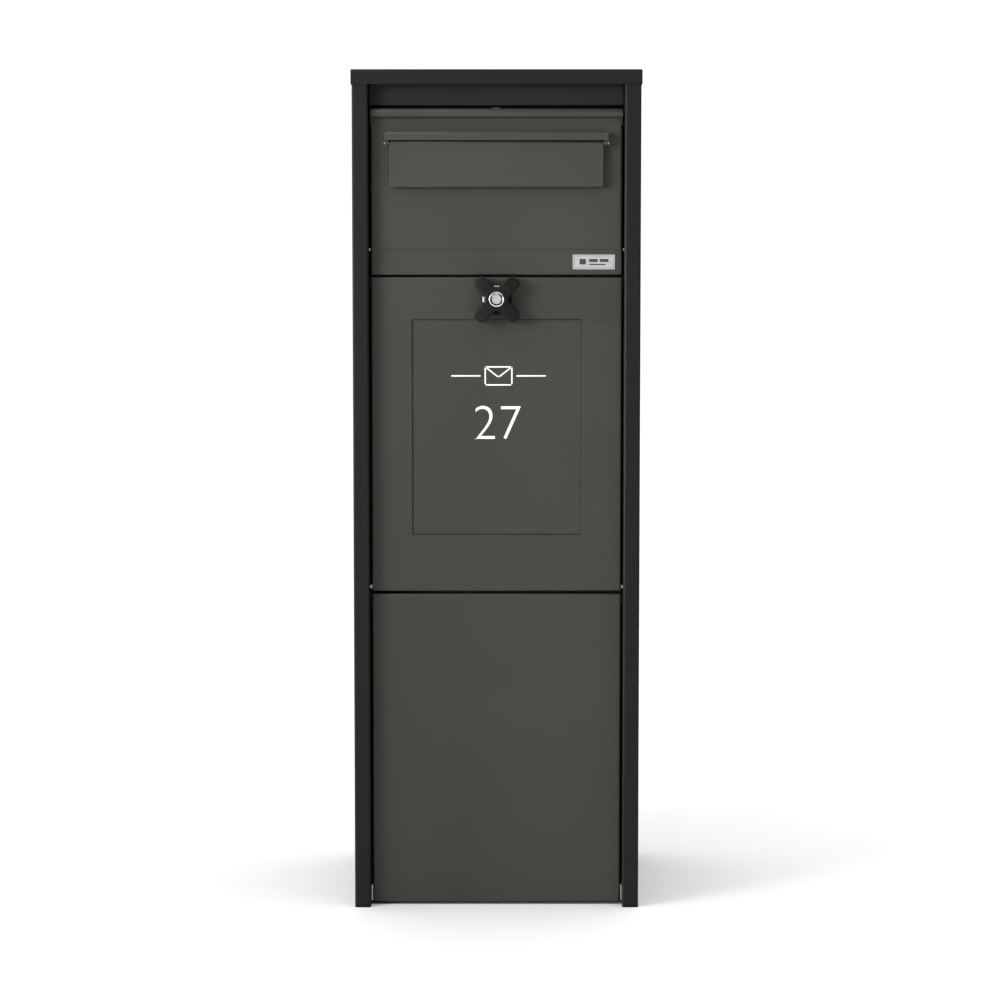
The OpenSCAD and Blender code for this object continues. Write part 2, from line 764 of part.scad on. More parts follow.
module knob_outline() {
    circle(17.5);
    for (a = [45 : 90 : 359]) rotate(a) {
        translate([0, -arm_w / 2]) square([arm_reach, arm_w]);
        translate([arm_reach, 0]) circle(arm_w / 2);
    }
}

module knob() {
    color("#2d2d2c") difference() {
        translate([0, knob_back, 0]) on_knob() linear_extrude(knob_h) knob_outline();
        bar_y(lock_r + run, knob_front - 1, knob_back + 1, 0, knob_z);
        translate([detent_at * cos(45), 0, knob_z + detent_at * sin(45)])
            bar_y(detent_r + run, knob_back - 10, knob_back + 1, 0, 0);
    }
}

module knob_shaft() {
    square_w = 9;
    color("#9b9c9d") {
        bar_y(shaft_r, knob_back, cam_y, 0, knob_z);
        translate([-square_w / 2, cam_y - eps, knob_z - square_w / 2])
            cube([square_w, cam_t, square_w]);
        bar_y(4, cam_y + cam_t - 2 * eps, cam_y + cam_t + 7, 0, knob_z);
    }
}

module lock_housing() {
    color("#c4c6c8") difference() {
        bar_y(lock_r, knob_front - 0.8, knob_back, 0, knob_z);
        bar_y(7 + run, knob_front - 2, knob_front + 14, 0, knob_z);
    }
}

module lock_plug() {
    color("#d0d2d4") difference() {
        bar_y(7, knob_front - 0.6, knob_front + 13.7, 0, knob_z);
        translate([-0.7, knob_front - 2, knob_z - 4]) cube([1.4, 10, 8]);
    }
}

module detent_pin() {
    color("#9b9c9d") translate([detent_at * cos(45), 0, knob_z + detent_at * sin(45)])
        bar_y(detent_r, knob_back - 6, yp - rosette_t - seat, 0, 0);
}

module door_cam() {
    color("#9b9c9d") difference() {
        translate([0, cam_y + cam_t, 0]) on_knob() linear_extrude(cam_t) {
            circle(10);
            translate([0, -7]) square([cam_reach - 7, 14]);
            translate([cam_reach - 7, 0]) circle(7);
        }
        translate([-4.5 - run, cam_y - 1, knob_z - 4.5 - run])
            cube([9 + 2 * run, cam_t + 2, 9 + 2 * run]);
    }
}

module cam_nut() {
    color("#b9babb") difference() {
        translate([0, cam_y + cam_t, knob_z]) rotate([-90, 0, 0]) cylinder(r = 7.5, h = 5, $fn = 6);
        bar_y(4 + run, cam_y, cam_y + 20, 0, knob_z);
    }
}

// ---- Lower panel and its latch ----

module lower_skin() {
    color("#4e4c48") difference() {
        translate([0, yp, lower_bottom]) pan(pan_w, lower_h, pan_depth);
        both_sides() bush_hole(lower_pin_r, lower_pivot);
        pan_rivet_holes(lower_bottom + 60, lower_top - 60);
    }
}

module lower_liner() {
    color("#565553") difference() {
        liner(lower_bottom, lower_h);
        pan_rivet_holes(lower_bottom + 60, lower_top - 60);
    }
}

module lower_rivets() {
    color("#4e4c48") both_sides() pan_rivets(lower_bottom + 60, lower_top - 60);
}

module lower_bushes() {
    color("#b9babb") both_sides()
        bush(lower_pin_r, lower_pivot, flange_x, side_gap - 0.1 - bracket_t - seat);
}

module latch_keeper() {
    rear = yp + pan_depth;
    lip = latch_y + latch_half + keeper_gap;
    color("#9b9c9d") translate([latch_half + 3, 0, 0]) {
        translate([0, rear, latch_cam_z - 11]) cube([10, sheet, 11 - 2.5]);
        translate([0, rear, latch_cam_z - 4]) cube([10, lip + sheet - rear, sheet]);
        translate([0, lip, latch_cam_z - 4]) cube([10, sheet, 9]);
    }
}

module latch_turn() {
    stem = 5.6;
    color("#2d2d2c") translate([0, latch_y, 0]) {
        translate([0, 0, latch_cam_z + cam_t]) cylinder(r = latch_r, h = shelf_top + 3 - latch_cam_z);
        translate([0, 0, shelf_top + seat]) cylinder(r = 12, h = 2.5);
        translate([-2.5, -12, shelf_top + seat]) cube([5, 24, 14]);
        translate([-stem / 2, -stem / 2, latch_cam_z]) cube([stem, stem, cam_t + eps]);
        translate([0, 0, latch_cam_z - 6]) cylinder(r = 2.4, h = 6 + eps);
    }
}

module latch_cam() {
    reach = latch_y - yp - pan_depth - 2.5;
    hole = 5.6 + 2 * run;
    color("#9b9c9d") difference() {
        translate([0, latch_y, latch_cam_z]) linear_extrude(cam_t) {
            circle(6);
            translate([-latch_half, -reach + latch_half]) square([2 * latch_half, reach - latch_half]);
            translate([0, -reach + latch_half]) circle(latch_half);
        }
        translate([-hole / 2, latch_y - hole / 2, latch_cam_z - 1]) cube([hole, hole, cam_t + 2]);
    }
}

module latch_nut() {
    color("#b9babb") difference() {
        translate([0, latch_y, latch_cam_z - 4]) cylinder(r = 4.6, h = 4, $fn = 6);
        translate([0, latch_y, latch_cam_z - 5]) cylinder(r = 2.4 + run, h = 6);
    }
}

side_left();
side_right();
back_panel();
roof_cap();
header_panel();
latch_rail();
parcel_shelf();
base_tray();
guard_baffle();
foot_caps();
hatch_pins();
door_pins();
lower_brackets();
lower_pins();
rest_bumpers();
body_rivets();
cap_screws();
hatch_panel();
slot_plate();
slot_hood();
hatch_stiffener();
hopper_cheek_left();
hopper_cheek_right();
hopper_tray();
hopper_rivets();
label_plate();
hatch_stud();
hatch_bushes();
flap_rod();
flap_bumpers();
letter_flap();
door_skin();
door_liner();
name_panel();
door_rivets();
door_bushes();
knob_rosette();
knob();
knob_shaft();
lock_housing();
door_cam();
cam_nut();
lock_plug();
detent_pin();
lower_skin();
lower_liner();
lower_rivets();
lower_bushes();
latch_keeper();
latch_turn();
latch_cam();
latch_nut();
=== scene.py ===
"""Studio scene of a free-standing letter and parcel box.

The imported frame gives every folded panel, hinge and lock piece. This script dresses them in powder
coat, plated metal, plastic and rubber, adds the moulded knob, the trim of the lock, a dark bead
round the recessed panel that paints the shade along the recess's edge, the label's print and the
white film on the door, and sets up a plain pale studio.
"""
import json
import logging
import math
from dataclasses import dataclass, field
from enum import Enum

import bpy
from mathutils import Matrix, Vector


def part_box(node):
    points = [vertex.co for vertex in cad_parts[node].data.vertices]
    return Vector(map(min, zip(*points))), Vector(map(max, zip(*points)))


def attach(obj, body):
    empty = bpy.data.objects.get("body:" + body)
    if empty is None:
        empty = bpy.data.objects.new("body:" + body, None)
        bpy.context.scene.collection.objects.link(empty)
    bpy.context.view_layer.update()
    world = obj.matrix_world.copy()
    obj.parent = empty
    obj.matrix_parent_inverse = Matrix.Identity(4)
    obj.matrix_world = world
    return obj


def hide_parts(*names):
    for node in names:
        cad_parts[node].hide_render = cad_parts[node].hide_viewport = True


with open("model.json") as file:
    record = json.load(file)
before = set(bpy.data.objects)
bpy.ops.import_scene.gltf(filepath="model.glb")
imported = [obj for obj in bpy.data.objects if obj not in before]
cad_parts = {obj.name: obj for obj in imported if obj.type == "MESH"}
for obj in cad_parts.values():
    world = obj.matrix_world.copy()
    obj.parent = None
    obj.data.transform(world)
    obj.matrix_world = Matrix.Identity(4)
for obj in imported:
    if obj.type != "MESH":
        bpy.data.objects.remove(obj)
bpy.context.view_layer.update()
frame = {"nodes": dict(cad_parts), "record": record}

MM = 0.001
TO_FRONT = Matrix.Rotation(math.radians(90), 4, "X")
SHARP = math.radians(50)
log = logging.getLogger("parcel_box")

Point = tuple[float, float, float]
Colour = tuple[float, float, float]


def srgb(red: int, green: int, blue: int) -> Colour:
    """Turns a colour in screen values from 0 to 255 into linear values."""
    def channel(value: float) -> float:
        """Linear value of one channel."""
        share = value / 255
        return share / 12.92 if share <= 0.04045 else ((share + 0.055) / 1.055) ** 2.4
    return channel(red), channel(green), channel(blue)


# ---- Shader maths ----

class Value:
    """A socket that carries a number, with the usual operators as Math nodes."""

    def __init__(self, graph: "Graph", socket: bpy.types.NodeSocket) -> None:
        """Wraps a socket of a graph."""
        self.graph = graph
        self.socket = socket

    def _math(self, operation: str, first: object, second: object) -> "Value":
        """Adds a Math node that joins two numbers or sockets."""
        node = self.graph.add("ShaderNodeMath", {"operation": operation}, {0: first, 1: second})
        return Value(self.graph, node.outputs[0])

    def __add__(self, other: object) -> "Value":
        """Sum."""
        return self._math("ADD", self, other)

    def __radd__(self, other: object) -> "Value":
        """Sum with a number on the left."""
        return self._math("ADD", other, self)

    def __mul__(self, other: object) -> "Value":
        """Product."""
        return self._math("MULTIPLY", self, other)

    def __rmul__(self, other: object) -> "Value":
        """Product with a number on the left."""
        return self._math("MULTIPLY", other, self)


class Graph:
    """The node tree of one material, with its Principled shader."""

    def __init__(self, name: str) -> None:
        """Starts an empty material of that name."""
        self.material = bpy.data.materials.new(name)
        self.material.use_nodes = True
        self.tree = self.material.node_tree
        self.shader = next(n for n in self.tree.nodes if n.type == "BSDF_PRINCIPLED")
        self.place = self.add("ShaderNodeTexCoord").outputs["Object"]

    def add(self, kind: str, settings: dict | None = None,
            inputs: dict | None = None) -> bpy.types.Node:
        """Adds a node.

        Args:
            kind: the node's type.
            settings: its own settings; "stops" is a list of ramp positions and grey values.
            inputs: a number, colour, socket or Value for each input's name or index.

        Returns:
            The node.
        """
        node = self.tree.nodes.new(kind)
        for key, value in (settings or {}).items():
            if key == "stops":
                for element, (position, grey) in zip(node.color_ramp.elements, value):
                    element.position = position
                    element.color = (grey, grey, grey, 1)
            else:
                setattr(node, key, value)
        for key, value in (inputs or {}).items():
            self.feed(node.inputs[key], value)
        return node

    def feed(self, socket: bpy.types.NodeSocket, value: object) -> None:
        """Links a socket or sets its value."""
        if isinstance(value, Value):
            value = value.socket
        if isinstance(value, bpy.types.NodeSocket):
            self.tree.links.new(value, socket)
        else:
            socket.default_value = value

    def noise(self, scale: float, detail: float = 2.0, stretch: Point = (1, 1, 1)) -> Value:
        """Noise over the object's own place, with its scale in cycles per metre."""
        place = self.add("ShaderNodeMapping", None, {"Vector": self.place, "Scale": stretch})
        node = self.add("ShaderNodeTexNoise", None,
                        {"Vector": place.outputs[0], "Scale": scale, "Detail": detail})
        return Value(self, node.outputs[0])

    def tint(self, mask: Value, low: Colour, high: Colour) -> bpy.types.NodeSocket:
        """Mixes two colours by a mask."""
        node = self.add("ShaderNodeMix", {"data_type": "RGBA"},
                        {"Factor": mask, 6: (*low, 1), 7: (*high, 1)})
        return node.outputs[2]

    def bump(self, height: Value, strength: float, depth: float) -> None:
        """Feeds a height to the shader's normal; depth is in metres."""
        node = self.add("ShaderNodeBump", None,
                        {"Strength": strength, "Distance": depth, "Height": height})
        self.feed(self.shader.inputs["Normal"], node.outputs[0])

    def set(self, **sockets: object) -> None:
        """Sets or links the shader's sockets, with _ for a space in a name."""
        for name, value in sockets.items():
            self.feed(self.shader.inputs[name.replace("_", " ")], value)


def shade(colour: Colour, factor: float) -> Colour:
    """The colour made lighter or darker by a factor."""
    return tuple(min(1.0, channel * factor) for channel in colour)


@dataclass(frozen=True)
class PowderCoat:
    """Baked powder coat with a fine sandy grain over a slight orange peel."""

    colour: Colour
    roughness: float = 0.55
    grain: float = 0.35
    sheen: float = 0.3

    def build(self, name: str) -> bpy.types.Material:
        """Makes the material."""
        graph = Graph(name)
        sand = graph.noise(1900, 3)
        peel = graph.noise(260, 2)
        cloud = graph.noise(7, 3)
        fleck = graph.noise(1100, 1)
        mask = 0.55 * cloud + 0.45 * fleck
        graph.set(Base_Color=graph.tint(mask, shade(self.colour, 0.86), shade(self.colour, 1.16)),
                  Roughness=self.roughness - 0.08 + 0.10 * cloud + 0.06 * sand,
                  Specular_IOR_Level=self.sheen)
        graph.bump(sand * 0.7 + peel * 0.5, self.grain, 0.16 * MM)
        return graph.material


@dataclass(frozen=True)
class PlatedMetal:
    """Zinc or nickel plate over drawn steel, with fine lines along one direction."""

    colour: Colour
    roughness: float = 0.3
    lines: Point = (0.06, 1, 1)
    scratch: float = 0.12

    def build(self, name: str) -> bpy.types.Material:
        """Makes the material."""
        graph = Graph(name)
        drawn = graph.noise(2600, 2, self.lines)
        bloom = graph.noise(120, 3)
        graph.set(Base_Color=graph.tint(bloom, shade(self.colour, 0.88), shade(self.colour, 1.06)),
                  Metallic=1.0, Roughness=self.roughness - 0.06 + 0.12 * bloom + 0.05 * drawn)
        graph.bump(drawn, self.scratch, 0.05 * MM)
        return graph.material


@dataclass(frozen=True)
class MouldedPlastic:
    """Moulded plastic with a spark-eroded grain."""

    colour: Colour
    roughness: float = 0.48
    grain: float = 0.25
    sheen: float = 0.4

    def build(self, name: str) -> bpy.types.Material:
        """Makes the material."""
        graph = Graph(name)
        spark = graph.noise(2400, 3)
        flow = graph.noise(45, 2)
        graph.set(Base_Color=graph.tint(flow, shade(self.colour, 0.85), shade(self.colour, 1.15)),
                  Roughness=self.roughness - 0.05 + 0.08 * flow + 0.06 * spark,
                  Specular_IOR_Level=self.sheen)
        graph.bump(spark, self.grain, 0.08 * MM)
        return graph.material


@dataclass(frozen=True)
class Film:
    """Cut vinyl film: smooth, faintly uneven, with a soft sheen."""

    colour: Colour
    roughness: float = 0.42

    def build(self, name: str) -> bpy.types.Material:
        """Makes the material."""
        graph = Graph(name)
        laid = graph.noise(60, 2)
        graph.set(Base_Color=graph.tint(laid, shade(self.colour, 0.95), shade(self.colour, 1.0)),
                  Roughness=self.roughness - 0.05 + 0.1 * laid)
        graph.bump(laid, 0.1, 0.05 * MM)
        return graph.material


FINISHES: dict[str, PowderCoat | PlatedMetal | MouldedPlastic | Film] = {
    "body_coat": PowderCoat(srgb(25, 25, 24), 0.56, sheen=0.14),
    "header_coat": PowderCoat(srgb(30, 30, 29), 0.58, sheen=0.16),
    "inner_coat": PowderCoat(srgb(92, 92, 90), 0.6, 0.25),
    "front_coat": PowderCoat(srgb(58, 56, 52), 0.55, sheen=0.24),
    "liner_coat": PowderCoat(srgb(88, 87, 84), 0.5, 0.2),
    "foot_plastic": MouldedPlastic(srgb(12, 12, 12), 0.6, sheen=0.15),
    "stud_plastic": MouldedPlastic(srgb(60, 59, 57), 0.5),
    "knob_plastic": MouldedPlastic(srgb(19, 19, 18), 0.46, sheen=0.16),
    "rubber_stop": MouldedPlastic(srgb(24, 24, 24), 0.75, 0.35),
    "dark_fastener": PowderCoat(srgb(25, 25, 24), 0.5, sheen=0.14),
    "zinc": PlatedMetal(srgb(205, 207, 210), 0.32),
    "steel": PlatedMetal(srgb(176, 177, 178), 0.36),
    "nickel": PlatedMetal(srgb(235, 236, 238), 0.24, (1, 1, 1), 0.05),
    "label_metal": PlatedMetal(srgb(222, 223, 225), 0.38, (0.03, 1, 1)),
    "white_film": Film(srgb(244, 244, 242)),
    "dark_print": Film(srgb(48, 50, 54), 0.5),
}


class Palette:
    """Builds each finish once and hands it to the pieces that ask for it."""

    def __init__(self) -> None:
        """Starts with no material built."""
        self._built: dict[str, bpy.types.Material] = {}

    def get(self, finish: str) -> bpy.types.Material:
        """The material of a finish."""
        if finish not in self._built:
            self._built[finish] = FINISHES[finish].build(finish)
        return self._built[finish]

    def dress(self, piece: bpy.types.Object, finish: str) -> None:
        """Puts one finish all over a piece."""
        piece.data.materials.clear()
        piece.data.materials.append(self.get(finish))


# ---- Bench tools ----

def deselect() -> None:
    """Leaves object mode with nothing selected."""
    if bpy.context.mode != "OBJECT":
        bpy.ops.object.mode_set(mode="OBJECT")
    bpy.ops.object.select_all(action="DESELECT")


def pick(piece: bpy.types.Object) -> bpy.types.Object:
    """Makes one object the only selected one, and active."""
    deselect()
    piece.select_set(True)
    bpy.context.view_layer.objects.active = piece
    return piece


def active(name: str) -> bpy.types.Object:
    """Names the object that an operator has just added."""
    piece = bpy.context.view_layer.objects.active
    piece.name = name
    return piece


def settle(piece: bpy.types.Object, smooth_deg: float = 32) -> bpy.types.Object:
    """Moves a finished piece's place into its mesh and smooths its round faces."""
    pick(piece)
    bpy.ops.object.transform_apply(location=True, rotation=True, scale=True)
    bpy.ops.object.shade_smooth_by_angle(angle=math.radians(smooth_deg))
    deselect()
    return piece


def modify(piece: bpy.types.Object, kind: str, **settings: object) -> None:
    """Adds a modifier, sets it and applies it."""
    pick(piece)
    modifier = piece.modifiers.new(kind.lower(), kind)
    for key, value in settings.items():
        setattr(modifier, key, value)
    bpy.ops.object.modifier_apply(modifier=modifier.name)


def join(pieces: list[bpy.types.Object], name: str) -> bpy.types.Object:
    """Joins pieces into one object of that name."""
    pick(pieces[0])
    for piece in pieces[1:]:
        piece.select_set(True)
    if len(pieces) > 1:
        bpy.ops.object.join()
    return active(name)


def block(low: Point, high: Point, name: str, bevel: float = 0.0) -> bpy.types.Object:
    """A block between two corners, with its edges rounded."""
    deselect()
    centre = [(a + b) / 2 for a, b in zip(low, high)]
    bpy.ops.mesh.primitive_cube_add(size=1, location=centre)
    piece = active(name)
    piece.scale = [b - a for a, b in zip(low, high)]
    bpy.ops.object.transform_apply(location=True, rotation=True, scale=True)
    if bevel:
        modify(piece, "BEVEL", width=bevel, segments=3)
    return piece


def turned(profile: list[tuple[float, float]], centre: Point, name: str,
           sides: int) -> bpy.types.Object:
    """A piece turned about an axis towards the front.

    Args:
        profile: radius and distance along the axis of each point, from end to end.
        centre: where the axis starts.
        name: the piece's name.
        sides: steps round the axis.

    Returns:
        The piece, closed and with its faces outwards.
    """
    deselect()
    bpy.ops.mesh.primitive_circle_add(vertices=sides, radius=profile[0][0], fill_type="NGON")
    piece = active(name)
    bpy.ops.object.mode_set(mode="EDIT")
    bpy.ops.mesh.select_all(action="SELECT")
    for (radius, height), (next_radius, next_height) in zip(profile, profile[1:]):
        bpy.ops.mesh.extrude_region_move(
            TRANSFORM_OT_translate={"value": (0, 0, next_height - height)})
        if abs(next_radius - radius) > 1e-9:
            share = next_radius / radius
            bpy.ops.transform.resize(value=(share, share, 1))
    bpy.ops.mesh.select_all(action="SELECT")
    bpy.ops.mesh.normals_make_consistent(inside=False)
    bpy.ops.object.mode_set(mode="OBJECT")
    start = Matrix.Translation((0, 0, profile[0][1]))
    piece.data.transform(Matrix.Translation(Vector(centre)) @ TO_FRONT @ start)
    return settle(piece, 40)


def mount(piece: bpy.types.Object, body: str, slot: str, palette: Palette,
          finish: str | None = None) -> None:
    """Dresses a piece, lets it ride on a body and reports it."""
    palette.dress(piece, finish or slot)
    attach(piece, body)
    log.info("%s rides on %s", piece.name, body)


def centre_of(node: str) -> Vector:
    """Centre of a node's box."""
    low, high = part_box(node)
    return (Vector(low) + Vector(high)) / 2


# ---- Pieces of the box ----

@dataclass
class CadDressing:
    """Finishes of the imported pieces, and fine rounding of their cut edges."""

    palette: Palette
    hardware_round: float = 0.45 * MM
    sheet_round: float = 0.3 * MM
    merge: float = 0.002 * MM
    hardware: tuple[str, ...] = (
        "body_rivets", "cap_screws", "hopper_rivets", "door_rivets", "lower_rivets", "lock_plug",
        "lock_housing", "lower_brackets", "door_cam", "cam_nut", "latch_cam", "latch_nut",
        "latch_keeper", "latch_turn", "rest_bumpers", "flap_bumpers", "hatch_stud", "foot_caps",
        "flap_rod", "hatch_pins", "door_pins", "lower_pins", "knob_rosette", "knob_shaft")

    def build(self) -> None:
        """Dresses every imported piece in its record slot's finish."""
        slots = {row["node"]: row["material_slot"] for row in frame["record"]["subparts"]}
        for name, node in frame["nodes"].items():
            self.palette.dress(node, slots[name])
            self._round(node, self.hardware_round if name in self.hardware else self.sheet_round)
        log.info("%d packed pieces dressed", len(slots))

    def _round(self, node: bpy.types.Object, width: float) -> None:
        """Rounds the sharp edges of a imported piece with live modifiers."""
        weld = node.modifiers.new("weld", "WELD")
        weld.merge_threshold = self.merge
        edge = node.modifiers.new("edge", "BEVEL")
        edge.width = width
        edge.segments = 2
        edge.limit_method = "ANGLE"
        edge.angle_limit = math.radians(40)
        edge.use_clamp_overlap = True
        edge.harden_normals = True


@dataclass
class Knob:
    """The four-armed locking knob, with its position marks and the lock's bezel."""

    palette: Palette
    arm_width: float = 20.6 * MM
    arm_tip: float = 42.3 * MM
    end_round: float = 6.4 * MM
    edge_round: float = 2.2 * MM
    hub_radius: float = 17.2 * MM
    hub_rise: float = 0.5 * MM
    hub_round: float = 1.6 * MM
    lock_radius: float = 11.15 * MM
    crown: float = 3.0 * MM
    voxel: float = 0.62 * MM
    mark_size: tuple[float, float] = (8.2 * MM, 2.6 * MM)
    mark_at: float = 19.6 * MM
    axis: Vector = field(init=False)
    front: float = field(init=False)
    back: float = field(init=False)

    def __post_init__(self) -> None:
        """Reads the knob's place from the frame."""
        low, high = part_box("knob")
        self.axis = centre_of("knob")
        self.front, self.back = low[1], high[1]

    def build(self) -> None:
        """Makes the knob, the bezel round its lock and the marks behind it."""
        knob = self._arms()
        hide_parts("knob")
        mount(knob, "knob", "knob_plastic", self.palette)
        mount(self._bezel(), "knob", "nickel", self.palette)
        mount(self._marks(), "parcel_door", "knob_plastic", self.palette, "white_film")

    def _arms(self) -> bpy.types.Object:
        """Four arms drawn out of a square block, blended into a round hub and bored."""
        depth = self.back - self.front - self.hub_rise
        half = self.arm_width / 2
        deselect()
        bpy.ops.mesh.primitive_cube_add(size=1)
        arms = active("knob_moulding")
        arms.scale = (self.arm_width, self.arm_width, depth)
        bpy.ops.object.transform_apply(location=True, rotation=True, scale=True)
        bpy.ops.object.mode_set(mode="EDIT")
        bpy.ops.mesh.select_mode(type="FACE")
        reach = self.arm_tip - half
        for side in ((1, 0), (0, 1), (-1, 0), (0, -1)):
            self._select_face(arms, Vector((side[0] * half, side[1] * half, 0)))
            bpy.ops.mesh.extrude_region_move(
                TRANSFORM_OT_translate={"value": (side[0] * reach, side[1] * reach, 0)})
        bpy.ops.mesh.select_all(action="SELECT")
        bpy.ops.mesh.normals_make_consistent(inside=False)
        bpy.ops.object.mode_set(mode="OBJECT")
        self._round_ends(arms)
        modify(arms, "BEVEL", width=self.edge_round, segments=4, limit_method="ANGLE",
               angle_limit=SHARP)
        arms.data.transform(Matrix.Rotation(math.radians(45), 4, "Z"))
        self._unite(arms, self._hub(depth))
        modify(arms, "REMESH", mode="VOXEL", voxel_size=self.voxel, use_smooth_shade=True)
        modify(arms, "SMOOTH", factor=0.5, iterations=10)
        self._crown(arms, depth)
        place = Matrix.Translation((self.axis.x, self.back - depth / 2, self.axis.z))
        arms.data.transform(place @ TO_FRONT)
        self._bore(arms)
        return settle(arms, 60)

    def _select_face(self, piece: bpy.types.Object, centre: Vector) -> None:
        """Selects the face with that centre, in edit mode."""
        bpy.ops.mesh.select_all(action="DESELECT")
        bpy.ops.object.mode_set(mode="OBJECT")
        face = min(piece.data.polygons, key=lambda item: (item.center - centre).length)
        face.select = True
        bpy.ops.object.mode_set(mode="EDIT")

    def _round_ends(self, arms: bpy.types.Object) -> None:
        """Rounds the upright edges at the arms' outer ends."""
        far = self.arm_tip * 0.99
        bpy.ops.object.mode_set(mode="EDIT")
        bpy.ops.mesh.select_mode(type="EDGE")
        bpy.ops.mesh.select_all(action="DESELECT")
        bpy.ops.object.mode_set(mode="OBJECT")
        points = arms.data.vertices
        for edge in arms.data.edges:
            first, second = (points[index].co for index in edge.vertices)
            upright = (first.xy - second.xy).length < self.voxel
            edge.select = upright and max(abs(first.x), abs(first.y)) > far
        bpy.ops.object.mode_set(mode="EDIT")
        bpy.ops.mesh.bevel(offset=self.end_round, segments=6, affect="EDGES")
        bpy.ops.object.mode_set(mode="OBJECT")

    def _hub(self, depth: float) -> bpy.types.Object:
        """The round hub, a little prouder than the arms."""
        deselect()
        bpy.ops.mesh.primitive_cylinder_add(vertices=64, radius=self.hub_radius,
                                            depth=depth + self.hub_rise,
                                            location=(0, 0, self.hub_rise / 2))
        hub = active("hub")
        modify(hub, "BEVEL", width=self.hub_round, segments=4, limit_method="ANGLE",
               angle_limit=SHARP)
        return hub

    def _unite(self, piece: bpy.types.Object, other: bpy.types.Object) -> None:
        """Adds another solid to a piece and removes the other."""
        modify(piece, "BOOLEAN", operation="UNION", object=other)
        bpy.data.objects.remove(other, do_unlink=True)

    def _crown(self, arms: bpy.types.Object, depth: float) -> None:
        """Slopes the front of each arm back towards its tip."""
        for vertex in arms.data.vertices:
            out = max(0.0, math.hypot(vertex.co.x, vertex.co.y) - self.hub_radius)
            share = (out / (self.arm_tip - self.hub_radius)) ** 2
            height = (vertex.co.z + depth / 2) / depth
            vertex.co.z -= self.crown * share * max(0.0, height)

    def _bore(self, arms: bpy.types.Object) -> None:
        """Bores the seat of the lock through the hub."""
        deselect()
        bpy.ops.mesh.primitive_cylinder_add(
            vertices=72, radius=self.lock_radius, depth=4 * (self.back - self.front),
            location=(self.axis.x, self.front, self.axis.z), rotation=(math.radians(90), 0, 0))
        bore = active("bore")
        modify(arms, "BOOLEAN", operation="DIFFERENCE", object=bore)
        bpy.data.objects.remove(bore, do_unlink=True)

    def _bezel(self) -> bpy.types.Object:
        """Thin turned ring round the lock's face."""
        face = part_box("lock_housing")[0][1]
        outer = self.lock_radius - 0.1 * MM
        profile = [(outer, -0.4 * MM), (outer, 0.15 * MM), (outer - 0.25 * MM, 0.35 * MM),
                   (outer - 1.1 * MM, 0.35 * MM), (outer - 1.5 * MM, 0.0)]
        return turned(profile, (self.axis.x, face, self.axis.z), "lock_bezel", sides=72)

    def _marks(self) -> bpy.types.Object:
        """Two plain dashes on the rosette, above and left of the hub."""
        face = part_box("knob_rosette")[0][1]
        long, short = self.mark_size[0] / 2, self.mark_size[1] / 2
        bars = []
        for out, across in (((0, 1), (1, 0)), ((-1, 0), (0, 1))):
            x, z = self.axis.x + out[0] * self.mark_at, self.axis.z + out[1] * self.mark_at
            half_x = long * across[0] + short * across[1]
            half_z = long * across[1] + short * across[0]
            bars.append(block((x - half_x, face - 0.25 * MM, z - half_z),
                              (x + half_x, face + 0.1 * MM, z + half_z), "dash", 0.12 * MM))
        return settle(join(bars, "knob_marks"))


